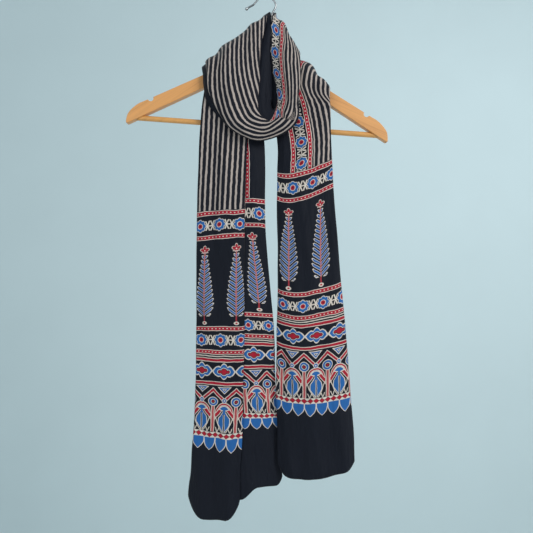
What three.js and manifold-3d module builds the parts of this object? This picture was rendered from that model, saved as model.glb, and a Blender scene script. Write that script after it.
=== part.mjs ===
import * as THREE from "three";
import Module from "manifold-3d";
import { mergeVertices } from "three/addons/utils/BufferGeometryUtils.js";

const wasm = await Module();
wasm.setup();

// Millimetres, +Z up, the viewer of the front stands on the -Y side.
// The origin is the inside top of the hook, where the rail that carries the hanger touches it.

// Cloth
const CLOTH_LENGTH = 2230;
const SHEET = 1;
const LAYER_PITCH = 2;
const LAYER_RAMP = 11;
const OPEN_PLEAT = 12;
const LEAST_RUN = 14;
const PLY_STEPS = 4;
const LEG_STEP = 45;
const KNOT_STEP = 18;
const TURNING_STEP = 12;
const TURNING_PLEAT = 30;
const KNOT_FROM = 600;
const KNOT_TO = 1500;

// Wooden hanger. Its own frame stands upright at the neck and hangs turned clockwise by HANG_TILT degrees.
const HANG_TILT = 4.2;
const NECK_X = -4.8;
const NECK_Z = -99;
const ARM_REACH = 223;
const ARM_TOP = 9;
const ARM_TOP_SLOPE = 28;
const ARM_FOOT = -11.6;
const ARM_FOOT_SLOPE = 29;
const ARM_HEIGHT = 19;
const ARM_THICKNESS = 15;
const ARM_CORNER = 1.2;
const NECK_FLAT = 4;
const TIP_STEPS = 12;
const NOTCH_AT = 184;
const NOTCH_RISE = -0.5;
const NOTCH_RADIUS = 4.6;
const BAR_DIAMETER = 9;
const BAR_DROP = -122.5;
const BAR_REACH = 210;
const PIECE_GAP = 0.3;

// Steel hook
const WIRE = 3.2;
const HOOK_RADIUS = 18;
const HOOK_BALL = 2.7;
const HOOK_STEPS = 64;
const STEM_IN_WOOD = 7;
const HOOK_FLARE = [[-32, -20], [-26, -16], [-20.5, -13]];
const HOOK_BEND = [[14.5, -23], [10.6, -30], [4, -46], [-2.2, -65], [-4.4, -80]];

// Sections of the strand from the right leg's hem to the left leg's hem.
// along: distance from the first hem. inner, middle, outer: the strand's printed face, x y z.
// first: width of the first ply as a share of the strand's width.
// pleat: how far the second ply turns back, plus OPEN_PLEAT. Above zero the first ply is on top,
// below zero the third ply is on top. lift: how far the first ply rides up.
// tuck: how far the plies behind stop short of the strand's outer edge.
// selvage: how far the last selvage stands out past those plies.
const SECTIONS = [
  { name: "right hem", along: 0, inner: [20, -14, -807], middle: [76, -28, -815],
    outer: [153, -16, -799], first: 1, pleat: 72, lift: 0, tuck: 3, selvage: -2 },
  { name: "right scallops", along: 64, inner: [19, -14, -736], middle: [76, -29, -748],
    outer: [151, -18, -733], first: 1, pleat: 74, lift: 0, tuck: 3, selvage: -2 },
  { name: "right beads", along: 130, inner: [18, -14, -679], middle: [73, -30, -684],
    outer: [145, -19, -674], first: 1, pleat: 75, lift: 0, tuck: 3, selvage: -2 },
  { name: "right medallions", along: 219, inner: [19, -14, -589], middle: [66, -31, -597],
    outer: [138, -20, -585], first: 1, pleat: 77, lift: 0, tuck: 3, selvage: -2 },
  { name: "right tree roots", along: 311, inner: [20, -14, -501], middle: [63, -31, -507],
    outer: [129, -22, -490], first: 1, pleat: 79, lift: 0, tuck: 3, selvage: -2 },
  { name: "right trees", along: 390, inner: [20, -14, -422], middle: [58, -31, -426],
    outer: [121, -24, -406], first: 1, pleat: 80, lift: 0, tuck: 3, selvage: -2 },
  { name: "right cross border foot", along: 471, inner: [20, -14, -345], middle: [56, -30, -348],
    outer: [115, -25, -324], first: 1, pleat: 82, lift: 0, tuck: 3, selvage: -2 },
  { name: "right cross border top", along: 511, inner: [20, -14, -305], middle: [56, -29, -307],
    outer: [113, -26, -285], first: 1, pleat: 82, lift: 0, tuck: 3, selvage: -2 },
  { name: "right field", along: 562, inner: [21, -14, -259], middle: [61, -26, -255],
    outer: [111, -26, -235], first: 1, pleat: 83, lift: 0, tuck: 3, selvage: -2 },
  { name: "right chest", along: 618, inner: [13, -14, -203], middle: [63, -24, -201],
    outer: [110, -25, -194], first: 1, pleat: 84, lift: 0, tuck: 3, selvage: -2 },
  { name: "right shoulder front", along: 660, inner: [5, -17, -154], middle: [60, -24, -157],
    outer: [109, -22, -179], first: 1, pleat: 82, lift: 0, tuck: 14, selvage: -2 },
  { name: "right shoulder bend", along: 680, inner: [15, -20, -116], middle: [63, -23, -130],
    outer: [109, -19, -162], first: 1, pleat: 82, lift: 0, tuck: 20, selvage: -2 },
  { name: "right shoulder top", along: 699, inner: [28, -2, -98], middle: [68, -2, -110],
    outer: [107, -2, -152], first: 1, pleat: 82, lift: 0, tuck: 20, selvage: -2 },
  { name: "right shoulder back", along: 726, inner: [38, 14, -101], middle: [67, 17, -112],
    outer: [107, 14, -153], first: 1, pleat: 82, lift: 0, tuck: 16, selvage: -2 },
  { name: "back rise low", along: 760, inner: [27, 22, -80], middle: [50, 27, -106],
    outer: [85, 24, -153], first: 1, pleat: 78, lift: 0, tuck: 3, selvage: -2 },
  { name: "back rise", along: 790, inner: [16, 27, -66], middle: [26, 31, -98],
    outer: [45, 27, -142], first: 1, pleat: 60, lift: 0, tuck: 3, selvage: -2 },
  { name: "behind shank", along: 816, inner: [12, 31, -43], middle: [5, 34, -79],
    outer: [1, 32, -122], first: 0.85, pleat: 36, lift: 0, tuck: 2, selvage: -2 },
  { name: "back crossing", along: 852, inner: [8, 28, -22], middle: [-24, 37, -59],
    outer: [-52, 37, -107], first: 0.6, pleat: 0, lift: 0, tuck: 1, selvage: -2 },
  { name: "over left low", along: 877, inner: [6, 18, -19], middle: [-45, 31, -59],
    outer: [-99, 29, -109], first: 0.45, pleat: -36, lift: 0, tuck: 0, selvage: 0 },
  { name: "left outline", along: 903, inner: [5, 3, -26], middle: [-47, 5, -63],
    outer: [-105, 6, -109], first: 0.38, pleat: -48, lift: 0, tuck: 0, selvage: 6 },
  { name: "left neck", along: 920, inner: [9, -10, -30], middle: [-45, -17, -75],
    outer: [-103, -14, -119], first: 0.38, pleat: -60, lift: 0, tuck: 0, selvage: 7 },
  { name: "cowl left 1", along: 937, inner: [10, -13, -48], middle: [-45, -31, -92],
    outer: [-100, -26, -135], first: 0.43, pleat: -63, lift: 0, tuck: 0, selvage: 8 },
  { name: "cowl left 2", along: 965, inner: [10, -19, -75], middle: [-43, -37, -115],
    outer: [-98, -27, -153], first: 0.49, pleat: -59, lift: 0, tuck: 0, selvage: 9 },
  { name: "cowl left 3", along: 993, inner: [10, -21, -105], middle: [-41, -40, -143],
    outer: [-94, -28, -174], first: 0.53, pleat: -57, lift: 0, tuck: 0, selvage: 9 },
  { name: "cowl left 4", along: 1023, inner: [10, -22, -135], middle: [-36, -42, -171],
    outer: [-86, -30, -194], first: 0.56, pleat: -53, lift: 0, tuck: 0, selvage: 8 },
  { name: "cowl left 5", along: 1051, inner: [10, -23, -172], middle: [-28, -45, -201],
    outer: [-73, -32, -216], first: 0.62, pleat: -45, lift: 0, tuck: 0, selvage: 4 },
  { name: "cowl turn 1", along: 1077, inner: [9, -24, -189], middle: [-17, -47, -222],
    outer: [-53, -34, -238], first: 0.66, pleat: -40, lift: 0, tuck: 0, selvage: 0 },
  { name: "cowl bottom", along: 1101, inner: [13, -25, -197], middle: [3, -49, -233],
    outer: [-15, -34, -253], first: 0.68, pleat: -34, lift: 0, tuck: 0, selvage: -2 },
  { name: "cowl turn 2", along: 1125, inner: [19, -27, -192], middle: [22, -51, -225],
    outer: [24, -35, -245], first: 0.7, pleat: -31, lift: 0, tuck: 0, selvage: -3 },
  { name: "cowl right 5", along: 1151, inner: [20, -28, -175], middle: [37, -52, -203],
    outer: [51, -38, -226], first: 0.72, pleat: 0, lift: 0, tuck: 2, selvage: -2 },
  { name: "cowl right 4", along: 1177, inner: [16, -28, -152], middle: [40, -53, -176],
    outer: [57, -41, -199], first: 0.85, pleat: 32, lift: 0, tuck: 3, selvage: -2 },
  { name: "cowl right 3", along: 1206, inner: [11, -27, -127], middle: [39, -51, -148],
    outer: [59, -42, -168], first: 0.97, pleat: 56, lift: 0, tuck: 3, selvage: -2 },
  { name: "cowl right 2", along: 1233, inner: [9, -25, -99], middle: [37, -47, -121],
    outer: [59, -41, -143], first: 1, pleat: 70, lift: 0, tuck: 3, selvage: -2 },
  { name: "cowl right 1", along: 1259, inner: [10, -21, -69], middle: [37, -38, -93],
    outer: [58, -37, -122], first: 1, pleat: 77, lift: 0, tuck: 3, selvage: -2 },
  { name: "right neck", along: 1284, inner: [11, -14.5, -37], middle: [40, -22, -74],
    outer: [58, -24, -108], first: 1, pleat: 77, lift: 0, tuck: 3, selvage: -2 },
  { name: "right outline", along: 1299, inner: [18, 3, -25], middle: [41, -8, -64],
    outer: [57, -12, -101], first: 1, pleat: 76, lift: 0, tuck: 3, selvage: -2 },
  { name: "inner back 1", along: 1326, inner: [17, 13, -30], middle: [31, 13, -56],
    outer: [43, 11, -81], first: 0.9, pleat: 50, lift: 0, tuck: 1, selvage: -2 },
  { name: "inner back 2", along: 1346, inner: [8, 16, -41], middle: [13, 19, -69],
    outer: [22, 18, -104], first: 0.64, pleat: 28, lift: 0, tuck: 0, selvage: -2 },
  { name: "inner back 3", along: 1374, inner: [-2, 16, -50], middle: [-13, 20, -83],
    outer: [-23, 20, -119], first: 0.42, pleat: 0, lift: 0, tuck: 0, selvage: -2 },
  { name: "left shoulder behind", along: 1410, inner: [-14, 13, -63], middle: [-44, 20, -90],
    outer: [-79, 21, -124], first: 0.46, pleat: -28, lift: 0, tuck: 0, selvage: -3 },
  { name: "left shoulder top", along: 1441, inner: [-18, 0, -76], middle: [-58, 0, -94],
    outer: [-97, 2, -118], first: 0.64, pleat: -52, lift: 0, tuck: 0, selvage: -14 },
  { name: "left shoulder bend", along: 1459, inner: [-9, -15, -94], middle: [-55, -20.5, -109],
    outer: [-100, -16.8, -134], first: 0.74, pleat: -62, lift: 2, tuck: 0, selvage: -14 },
  { name: "left shoulder front", along: 1476, inner: [1, -18, -117], middle: [-52, -23, -130],
    outer: [-101, -18, -147], first: 0.86, pleat: -76, lift: 4, tuck: 0, selvage: -3 },
  { name: "left chest", along: 1538, inner: [-5, -16, -180], middle: [-56, -22, -192],
    outer: [-109, -17, -201], first: 0.82, pleat: -80, lift: 12, tuck: 0, selvage: -3 },
  { name: "left field", along: 1628, inner: [0, -15, -274], middle: [-54, -24, -279],
    outer: [-114, -13, -281], first: 0.74, pleat: -67, lift: 18, tuck: 0, selvage: -3 },
  { name: "left cross border top", along: 1719, inner: [0, -15, -373], middle: [-57, -24, -370],
    outer: [-118, -8, -373], first: 0.72, pleat: -66, lift: 20, tuck: 0, selvage: -3 },
  { name: "left cross border foot", along: 1759, inner: [1, -15, -412], middle: [-56, -24, -409],
    outer: [-118, -8, -414], first: 0.7, pleat: -63, lift: 20, tuck: 0, selvage: -3 },
  { name: "left trees", along: 1836, inner: [8, -12, -490], middle: [-54, -24, -486],
    outer: [-119, -8, -490], first: 0.7, pleat: -60, lift: 23, tuck: 0, selvage: -3 },
  { name: "left tree roots", along: 1918, inner: [15, -8, -568], middle: [-54, -24, -564],
    outer: [-119, -8, -565], first: 0.68, pleat: -56, lift: 26, tuck: 0, selvage: -3 },
  { name: "left medallions", along: 2011, inner: [18, -4, -662], middle: [-52, -24, -658],
    outer: [-120, -8, -655], first: 0.66, pleat: -50, lift: 31, tuck: 0, selvage: -3 },
  { name: "left beads", along: 2100, inner: [23, -1, -750], middle: [-51, -24, -745],
    outer: [-123, -8, -740], first: 0.64, pleat: -46, lift: 36, tuck: 0, selvage: -3 },
  { name: "left scallops", along: 2164, inner: [29, 0, -820], middle: [-54, -24, -815],
    outer: [-128, -8, -802], first: 0.62, pleat: -42, lift: 46, tuck: 0, selvage: -3 },
  { name: "left hem", along: 2230, inner: [34, 0, -884], middle: [-64, -24, -885],
    outer: [-133, -6, -884], first: 0.6, pleat: -40, lift: 53, tuck: 0, selvage: -3 },
];

// Long soft creases that run along the cloth. at, to: share of the width where the crease starts and ends.
const CREASES = [
  { name: "left leg, outer fold", start: 1520, end: 2230, at: 0.76, to: 0.74, half: 20, depth: 2.5 },
  { name: "right leg, inner edge", start: 0, end: 600, at: 0.2, to: 0.3, half: 18, depth: 2 },
  { name: "right leg, outer fold", start: 60, end: 640, at: 0.74, to: 0.72, half: 18, depth: 2 },
  { name: "cowl left, long crease", start: 915, end: 1070, at: 0.4, to: 0.45, half: 18, depth: 2 },
];
const CREASE_FADE = 50;

// Rounded corners of the two hems. reach: across the strand, rise: along the cloth.
const HEMS = [
  { name: "right hem", innerReach: 16, innerRise: 16, outerReach: 16, outerRise: 14 },
  { name: "left hem", innerReach: 14, innerRise: 14, outerReach: 32, outerRise: 30 },
];
const HEM_FADE = 70;
const SWEEP_FROM = 36;
const SWEEP_FULL = 53;
const SWEEP_REACH = 30;

const clamp = (value, low, high) => Math.min(high, Math.max(low, value));
const mix = (a, b, t) => a + (b - a) * t;

function ease(t) {
  const c = clamp(t, 0, 1);
  return c * c * (3 - 2 * c);
}

function rowValue(row, key) {
  return typeof key === "string" ? row[key] : row[key[0]][key[1]];
}

// Smooth value of one column at a distance along the cloth.
function column(key, along) {
  const last = SECTIONS.length - 1;
  let i = 0;
  while (i < last - 1 && SECTIONS[i + 1].along <= along) i += 1;
  const rows = [i - 1, i, i + 1, i + 2].map((k) => SECTIONS[clamp(k, 0, last)]);
  const [before, a, b, after] = rows.map((row) => rowValue(row, key));
  const [u0, u1, u2, u3] = rows.map((row) => row.along);
  const span = u2 - u1;
  const t = clamp((along - u1) / span, 0, 1);
  const slopeA = ((b - before) / (u2 - u0)) * span;
  const slopeB = ((after - a) / (u3 - u1)) * span;
  const t2 = t * t;
  const t3 = t2 * t;
  return (2 * t3 - 3 * t2 + 1) * a + (t3 - 2 * t2 + t) * slopeA + (3 * t2 - 2 * t3) * b + (t3 - t2) * slopeB;
}

// The same without overshoot, for the pleat columns.
function stepless(key, along) {
  const last = SECTIONS.length - 1;
  let i = 0;
  while (i < last - 1 && SECTIONS[i + 1].along <= along) i += 1;
  const a = SECTIONS[i];
  const b = SECTIONS[i + 1];
  return mix(a[key], b[key], clamp((along - a.along) / (b.along - a.along), 0, 1));
}

const railCache = new Map();

function rails(along) {
  const u = clamp(along, 0, CLOTH_LENGTH);
  if (!railCache.has(u)) {
    const made = ["inner", "middle", "outer"].map(
      (rail) => new THREE.Vector3(column([rail, 0], u), column([rail, 1], u), column([rail, 2], u)),
    );
    railCache.set(u, made);
  }
  return railCache.get(u);
}

// A point of the bare face, at a share of the width: a bow through the three rails.
function bow(along, share) {
  const [inner, middle, outer] = rails(along);
  return new THREE.Vector3()
    .addScaledVector(inner, (1 - share) * (1 - 2 * share))
    .addScaledVector(middle, 4 * share * (1 - share))
    .addScaledVector(outer, share * (2 * share - 1));
}

const BOW_STEPS = 24;
const bowCache = new Map();

function bowLengths(along) {
  const u = clamp(along, 0, CLOTH_LENGTH);
  if (!bowCache.has(u)) {
    const sums = [0];
    let last = bow(u, 0);
    for (let i = 1; i <= BOW_STEPS; i += 1) {
      const point = bow(u, i / BOW_STEPS);
      sums.push(sums[i - 1] + point.distanceTo(last));
      last = point;
    }
    bowCache.set(u, sums);
  }
  return bowCache.get(u);
}

const strandWidth = (along) => bowLengths(along)[BOW_STEPS];

function shareAt(along, across) {
  const sums = bowLengths(along);
  const width = sums[BOW_STEPS];
  if (across <= 0) return across / width;
  if (across >= width) return across / width;
  let i = 0;
  while (sums[i + 1] < across) i += 1;
  return (i + (across - sums[i]) / (sums[i + 1] - sums[i])) / BOW_STEPS;
}

function creaseDepth(along, share, width) {
  return CREASES.reduce((sum, crease) => {
    const inside = ease((along - crease.start) / CREASE_FADE) * ease((crease.end - along) / CREASE_FADE + 1);
    const gone = clamp((along - crease.start) / (crease.end - crease.start), 0, 1);
    const middle = mix(crease.at, crease.to, gone);
    const off = ((share - middle) * width) / crease.half;
    return sum + inside * crease.depth * Math.exp(-off * off);
  }, 0);
}

// Place in the stack of plies: across the strand, and depth behind its printed face.
function place(along, across, depth) {
  const width = strandWidth(along);
  const share = shareAt(along, across);
  const bowShare = clamp(share, 0, 1);
  const point = bow(along, share);
  const acrossStep = bow(along, bowShare + 0.01).sub(bow(along, bowShare - 0.01));
  const alongStep = bow(along + 2, bowShare).sub(bow(along - 2, bowShare));
  const normal = acrossStep.cross(alongStep).normalize();
  return point.addScaledVector(normal, -depth - creaseDepth(along, bowShare, width));
}

// How far a point near a hem rises where the hem's corners are rounded off.
function hemRise(along, across) {
  const atEnd = along > CLOTH_LENGTH / 2;
  const hem = HEMS[atEnd ? 1 : 0];
  const near = ease(1 - (atEnd ? CLOTH_LENGTH - along : along) / HEM_FADE);
  const inner = clamp(1 - across / hem.innerReach, 0, 1);
  const outer = clamp(1 - (strandWidth(along) - across) / hem.outerReach, 0, 1);
  return near * (inner * inner * hem.innerRise + outer * outer * hem.outerRise);
}

const covers = (low, high, across) =>
  ease((across - low) / LAYER_RAMP + 1) * ease((high - across) / LAYER_RAMP + 1);

const spread = (from, to) => Array.from({ length: PLY_STEPS + 1 }, (_, i) => mix(from, to, i / PLY_STEPS));

// One section of the folded cloth as a line of nodes: across, depth and how far it is lifted.
function foldLine(along) {
  const width = strandWidth(along);
  const pleat = stepless("pleat", along);
  const turned = Math.abs(pleat) - OPEN_PLEAT;
  const opened = ease(Math.abs(pleat) / OPEN_PLEAT);
  const folded = clamp(turned / LAYER_RAMP, 0, 1);
  const firstOnTop = pleat > 0;
  const firstShare = stepless("first", along);
  const firstEnd = width * firstShare;
  const thirdStart = firstEnd - turned;
  const thirdEnd = width - stepless("tuck", along);
  const lastEnd = thirdEnd + stepless("selvage", along);
  const lift = stepless("lift", along);
  const underFirst = (across) => covers(0, firstEnd, across);
  const underThird = (across) => covers(thirdStart, thirdEnd, across);
  const behind = 2 * LAYER_PITCH * opened;
  const first = (across) => (firstOnTop ? 0 : behind * underThird(across));
  const third = (across) => (firstOnTop ? behind * underFirst(across) : 0);
  const fourth = (across) => LAYER_PITCH + behind * underFirst(across) * underThird(across);
  const fifth = (across) => fourth(across) + LAYER_PITCH;
  const turning = (t) => (PLY_STEPS * t + 1) / (PLY_STEPS + 2);
  const second = (across, t) =>
    mix(first(firstEnd), third(thirdStart), mix(turning(t), 0.5 + 0.2 * (t - 0.5), folded));
  const swept = 0.1 + 0.5 * ease((lift - SWEEP_FROM) / (SWEEP_FULL - SWEEP_FROM));
  const droop = 0.4 * ease((lift - SWEEP_FROM - 8) / (SWEEP_FULL - SWEEP_FROM - 8));
  const sweep = (across) => swept * Math.pow(clamp(1 - (across - thirdStart) / SWEEP_REACH, 0, 1), 2);
  const knee = clamp(thirdStart, 6, firstEnd - 6);
  const under = Math.max(thirdStart + LEAST_RUN, Math.min(firstEnd, thirdEnd - LAYER_RAMP));
  const ledge = Math.min(thirdEnd - 3, under);
  const rest = Math.min(ledge + LAYER_RAMP, thirdEnd - 1);
  const secondFrom = mix(firstEnd, thirdStart, mix(turning(0), 0, folded));
  const secondTo = mix(firstEnd, thirdStart, mix(turning(1), 1, folded));
  const runs = [
    {
      depth: first,
      lifted: (across) => 1 - droop * ease(1 - Math.abs(across - thirdStart) / SWEEP_REACH),
      stops: [0, Math.min(14, knee / 4), Math.max(knee / 2, knee - LAYER_RAMP)],
    },
    { depth: first, lifted: () => 1, stops: spread(knee, firstEnd) },
    { depth: second, lifted: (across, t) => mix(1, swept, t), stops: spread(secondFrom, secondTo) },
    { depth: third, lifted: sweep, stops: [...spread(thirdStart, ledge), rest, thirdEnd] },
    { depth: fourth, lifted: sweep, stops: [thirdEnd, rest, ...spread(ledge, thirdStart)] },
    { depth: fifth, lifted: sweep, stops: [...spread(thirdStart, ledge), lastEnd] },
  ];
  return runs.flatMap(({ depth, lifted, stops }) =>
    stops.map((across, i) => {
      const t = i / (stops.length - 1);
      return { across, depth: depth(across, t), lift: lift * lifted(across, t) };
    }),
  );
}

// The fold line given its thickness: one closed ring of points, front skin out and back skin home.
function ringAt(along) {
  const nodes = foldLine(along);
  const sideNormal = (a, b) => new THREE.Vector2(a.depth - b.depth, b.across - a.across).normalize();
  const skins = [-1, 1].map((side) =>
    nodes.map((node, i) => {
      const before = sideNormal(nodes[Math.max(0, i - 1)], nodes[Math.max(1, i)]);
      const last = nodes.length - 1;
      const after = sideNormal(nodes[Math.min(last - 1, i)], nodes[Math.min(last, i + 1)]);
      const corner = before.clone().add(after).normalize();
      const reach = SHEET / 2 / Math.max(0.6, corner.dot(after));
      const rise = node.lift + hemRise(along, node.across);
      const base = along - rise * (along > CLOTH_LENGTH / 2 ? 1 : -1);
      return place(base, node.across + side * reach * corner.x, node.depth + side * reach * corner.y);
    }),
  );
  return [...skins[0], ...skins[1].reverse()];
}

// Skin over the strip's rings. Both skins split their quads along the same diagonal, so they stay parallel.
function loft(rings, capTriangles) {
  const count = rings[0].length;
  const vertices = rings.flat();
  const faces = [];
  for (let r = 0; r < rings.length - 1; r += 1) {
    for (let i = 0; i < count; i += 1) {
      const a = r * count + i;
      const b = r * count + ((i + 1) % count);
      if (i < count / 2) faces.push([a, b, b + count], [a, b + count, a + count]);
      else faces.push([a, b, a + count], [b, b + count, a + count]);
    }
  }
  const top = (rings.length - 1) * count;
  for (const [a, b, c] of capTriangles) {
    faces.push([c, b, a], [top + a, top + b, top + c]);
  }
  const geometry = new THREE.BufferGeometry();
  const numbers = vertices.flatMap((v) => v.toArray());
  geometry.setAttribute("position", new THREE.Float32BufferAttribute(numbers, 3));
  geometry.setIndex(faces.flat());
  return geometry;
}

// Cap of a thin strip whose ring runs out along one skin and home along the other.
function stripCap(count) {
  const half = count / 2;
  const triangles = [];
  for (let i = 0; i < half - 1; i += 1) {
    const home = count - 1 - i;
    triangles.push([i, i + 1, home], [i + 1, home - 1, home]);
  }
  return triangles;
}

function solidOf(geometry) {
  const plain = geometry.clone();
  plain.deleteAttribute("normal");
  plain.deleteAttribute("uv");
  const merged = mergeVertices(plain, 1e-4);
  const mesh = new wasm.Mesh({
    numProp: 3,
    vertProperties: merged.attributes.position.array,
    triVerts: new Uint32Array(merged.index.array),
  });
  return new wasm.Manifold(mesh);
}

function geometryOf(solid) {
  const mesh = solid.getMesh();
  const geometry = new THREE.BufferGeometry();
  geometry.setAttribute("position", new THREE.BufferAttribute(new Float32Array(mesh.vertProperties), 3));
  geometry.setIndex(new THREE.BufferAttribute(mesh.triVerts, 1));
  const flat = geometry.toNonIndexed();
  flat.computeVertexNormals();
  return flat;
}

function stations() {
  const list = [];
  for (let i = 0; i < SECTIONS.length - 1; i += 1) {
    const from = SECTIONS[i].along;
    const to = SECTIONS[i + 1].along;
    const turning = Math.min(Math.abs(SECTIONS[i].pleat), Math.abs(SECTIONS[i + 1].pleat)) < TURNING_PLEAT;
    const knotStep = turning ? TURNING_STEP : KNOT_STEP;
    const step = from >= KNOT_FROM && to <= KNOT_TO ? knotStep : LEG_STEP;
    const parts = Math.max(1, Math.round((to - from) / step));
    for (let k = 0; k < parts; k += 1) list.push(mix(from, to, k / parts));
  }
  list.push(CLOTH_LENGTH);
  return list;
}

function stoleGeometry() {
  const rings = stations().map(ringAt);
  const geometry = loft(rings, stripCap(rings[0].length));
  geometry.computeVertexNormals();
  return geometry;
}

const radians = (degrees) => (degrees * Math.PI) / 180;

function cylinderBetween(from, to, radius, sides) {
  const axis = to.clone().sub(from);
  const geometry = new THREE.CylinderGeometry(radius, radius, axis.length(), sides);
  const upright = new THREE.Vector3(0, 1, 0);
  geometry.applyQuaternion(new THREE.Quaternion().setFromUnitVectors(upright, axis.clone().normalize()));
  const middle = from.clone().add(to).multiplyScalar(0.5);
  return geometry.translate(middle.x, middle.y, middle.z);
}

// Outline of both arms, x across and z up from the neck, in the hanger's own upright frame.
function armOutline() {
  const top = (x) => ARM_TOP - x * Math.tan(radians(ARM_TOP_SLOPE));
  const foot = (x) => ARM_FOOT - x * Math.tan(radians(ARM_FOOT_SLOPE));
  const rounding = [
    new THREE.Vector2(ARM_REACH - 19, top(ARM_REACH - 19)),
    new THREE.Vector2(ARM_REACH - 8.5, top(ARM_REACH - 8.5) - 3.8),
    new THREE.Vector2(ARM_REACH - 1.7, top(ARM_REACH) - 9.6),
    new THREE.Vector2(ARM_REACH, foot(ARM_REACH) + 2.5),
    new THREE.Vector2(ARM_REACH - 4, foot(ARM_REACH - 4)),
  ];
  const start = new THREE.Vector2(NECK_FLAT, top(NECK_FLAT));
  const side = [start, new THREE.Vector2(ARM_REACH - 28, top(ARM_REACH - 28))];
  const tip = new THREE.SplineCurve([side[1], ...rounding]).getPoints(TIP_STEPS).slice(1);
  const right = [...side, ...tip, new THREE.Vector2(NECK_FLAT, foot(NECK_FLAT))];
  const left = right.map((point) => new THREE.Vector2(-point.x, point.y)).reverse();
  return new THREE.Shape([...right, ...left]);
}

const barEnd = (side, reach) => new THREE.Vector3(side * reach, 0, BAR_DROP);

function armsGeometry() {
  const flat = new THREE.ExtrudeGeometry(armOutline(), {
    depth: ARM_THICKNESS - 2 * ARM_CORNER,
    bevelThickness: ARM_CORNER,
    bevelSize: ARM_CORNER,
    bevelOffset: -ARM_CORNER,
    bevelSegments: 2,
  });
  flat.rotateX(Math.PI / 2);
  flat.translate(0, ARM_THICKNESS / 2 - ARM_CORNER, 0);
  let solid = solidOf(flat);
  const across = new THREE.Vector3(0, ARM_THICKNESS, 0);
  for (const side of [-1, 1]) {
    const notchZ = ARM_TOP - NOTCH_AT * Math.tan(radians(ARM_TOP_SLOPE)) + NOTCH_RISE;
    const middle = new THREE.Vector3(side * NOTCH_AT, 0, notchZ);
    const cutter = cylinderBetween(middle.clone().sub(across), middle.clone().add(across), NOTCH_RADIUS, 20);
    solid = solid.subtract(solidOf(cutter));
  }
  const bore = BAR_REACH + PIECE_GAP;
  const socket = cylinderBetween(barEnd(-1, bore), barEnd(1, bore), BAR_DIAMETER / 2 + PIECE_GAP, 20);
  const stemTop = new THREE.Vector3(0, 0, ARM_HEIGHT);
  const stemFoot = new THREE.Vector3(0, 0, -STEM_IN_WOOD - PIECE_GAP);
  const stemBore = cylinderBetween(stemFoot, stemTop, WIRE / 2 + PIECE_GAP, 16);
  return geometryOf(solid.subtract(solidOf(socket)).subtract(solidOf(stemBore)));
}

function barGeometry() {
  return cylinderBetween(barEnd(-1, BAR_REACH), barEnd(1, BAR_REACH), BAR_DIAMETER / 2, 20);
}

// Centre line of the wire in the hanger's own frame: flared tip, round top, a bend back over the neck, stem.
const neckPoint = (x, z) => {
  const tilt = radians(HANG_TILT);
  const dx = x - NECK_X;
  const dz = z - NECK_Z;
  const [c, s] = [Math.cos(tilt), Math.sin(tilt)];
  return new THREE.Vector3(dx * c - dz * s, 0, dx * s + dz * c);
};

function hookLine() {
  const centre = -(HOOK_RADIUS - WIRE / 2);
  const round = [150, 120, 90, 60, 30, 5].map((turn) =>
    neckPoint(HOOK_RADIUS * Math.cos(radians(turn)), centre + HOOK_RADIUS * Math.sin(radians(turn))),
  );
  const flare = HOOK_FLARE.map(([x, z]) => neckPoint(x, z));
  const bend = HOOK_BEND.map(([x, z]) => neckPoint(x, z));
  const stem = [14, 4, -STEM_IN_WOOD].map((z) => new THREE.Vector3(0, 0, z));
  return new THREE.CatmullRomCurve3([...flare, ...round, ...bend, ...stem], false, "centripetal");
}

function hookGeometry() {
  const section = new THREE.Shape();
  section.absarc(0, 0, WIRE / 2, 0, 2 * Math.PI, false);
  const path = hookLine();
  const wire = new THREE.ExtrudeGeometry(section, {
    steps: HOOK_STEPS,
    curveSegments: 5,
    bevelEnabled: false,
    extrudePath: path,
  });
  const tip = path.getPoint(0);
  const ball = new THREE.SphereGeometry(HOOK_BALL, 12, 8).translate(tip.x, tip.y, tip.z);
  return geometryOf(solidOf(wire).add(solidOf(ball)));
}

function piece(name, geometry, look) {
  const mesh = new THREE.Mesh(geometry, new THREE.MeshStandardMaterial(look));
  mesh.name = name;
  return mesh;
}

const hanger = new THREE.Group();
hanger.position.set(NECK_X, 0, NECK_Z);
hanger.rotation.y = radians(HANG_TILT);
hanger.add(
  piece("hanger_arms", armsGeometry(), { color: "#d6a567", roughness: 0.5 }),
  piece("trouser_bar", barGeometry(), { color: "#e2bd84", roughness: 0.55 }),
  piece("hanger_hook", hookGeometry(), { color: "#b9bcc0", roughness: 0.25, metalness: 1 }),
);

const root = new THREE.Group();
const cloth = { color: "#262a34", roughness: 0.85, side: THREE.DoubleSide };
root.add(piece("stole", stoleGeometry(), cloth), hanger);
export default root;
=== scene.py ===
import math

import bmesh
import bpy
import numpy as np
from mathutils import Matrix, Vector


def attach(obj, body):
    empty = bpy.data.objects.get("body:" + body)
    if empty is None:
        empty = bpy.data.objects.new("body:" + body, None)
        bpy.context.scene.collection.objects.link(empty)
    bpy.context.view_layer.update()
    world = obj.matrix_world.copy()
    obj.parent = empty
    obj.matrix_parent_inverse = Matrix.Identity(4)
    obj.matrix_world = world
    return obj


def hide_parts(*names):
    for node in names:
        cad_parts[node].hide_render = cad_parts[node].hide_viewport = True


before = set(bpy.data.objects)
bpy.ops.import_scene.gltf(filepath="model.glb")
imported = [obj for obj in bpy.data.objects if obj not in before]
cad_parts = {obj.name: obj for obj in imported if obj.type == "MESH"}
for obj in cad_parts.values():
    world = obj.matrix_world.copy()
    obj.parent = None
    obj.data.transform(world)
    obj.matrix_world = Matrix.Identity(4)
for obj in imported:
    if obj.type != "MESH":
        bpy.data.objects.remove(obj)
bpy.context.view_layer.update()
mm = 0.001


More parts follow.
